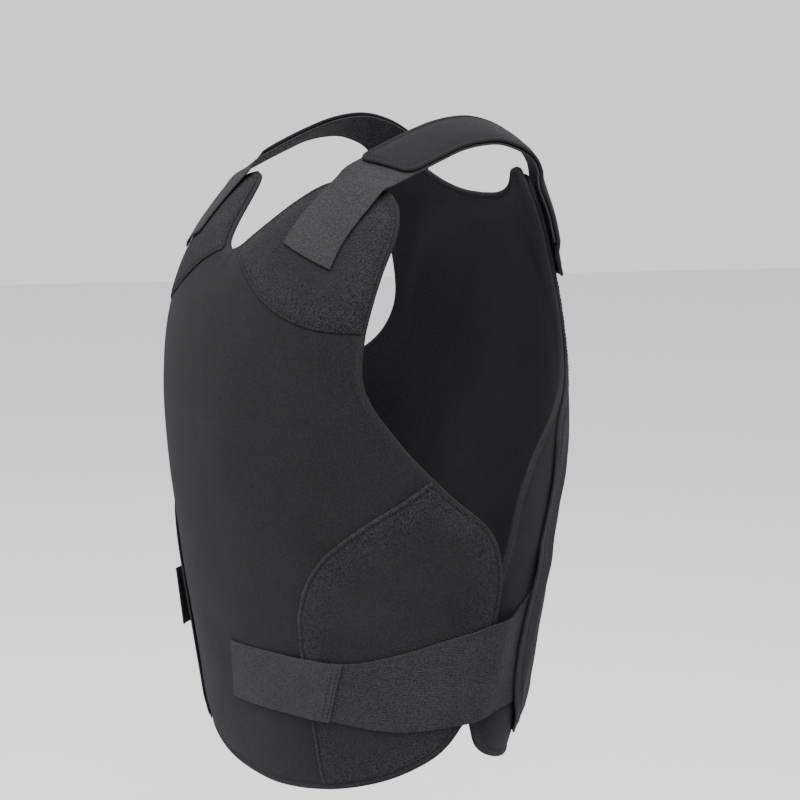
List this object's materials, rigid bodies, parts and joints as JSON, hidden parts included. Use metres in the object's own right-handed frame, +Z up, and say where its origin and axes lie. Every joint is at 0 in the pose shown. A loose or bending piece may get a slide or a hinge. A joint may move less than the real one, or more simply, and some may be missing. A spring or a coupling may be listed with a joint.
{
  "type": "soft body armour vest, worn form",
  "caption": "Soft body armour vest in its worn form: padded front and back panels held by hook-and-loop shoulder straps and elastic side straps.",
  "frame": {"origin": "midway between the undersides of the two shoulder straps at the top of the shoulders", "axes": "+Z up, the front faces -Y, the wearer's left is +X"},
  "size_m": [0.3846, 0.2829, 0.5121],
  "materials": {
    "shell_cloth": "fine matte woven cloth over padding, near black",
    "loop_pile": "short fuzzy loop pile, near black",
    "hook_tape": "stiff hook tape, matte dark grey",
    "elastic_band": "flat elastic webbing, charcoal grey",
    "pad_cloth": "thin bound pad, near black"
  },
  "bodies": {
    "root": {"front_panel": "shell_cloth", "back_panel": "shell_cloth", "back_cover": "shell_cloth", "shoulder_loop_left": "loop_pile", "shoulder_loop_right": "loop_pile", "side_loop_left": "loop_pile", "side_loop_right": "loop_pile", "shoulder_strap_left": "hook_tape", "shoulder_strap_right": "hook_tape", "shoulder_pad_left": "pad_cloth", "shoulder_pad_right": "pad_cloth", "side_strap_left": "elastic_band", "side_strap_right": "elastic_band", "side_tab_left": "hook_tape", "side_tab_right": "hook_tape"}
  },
  "joints": []
}
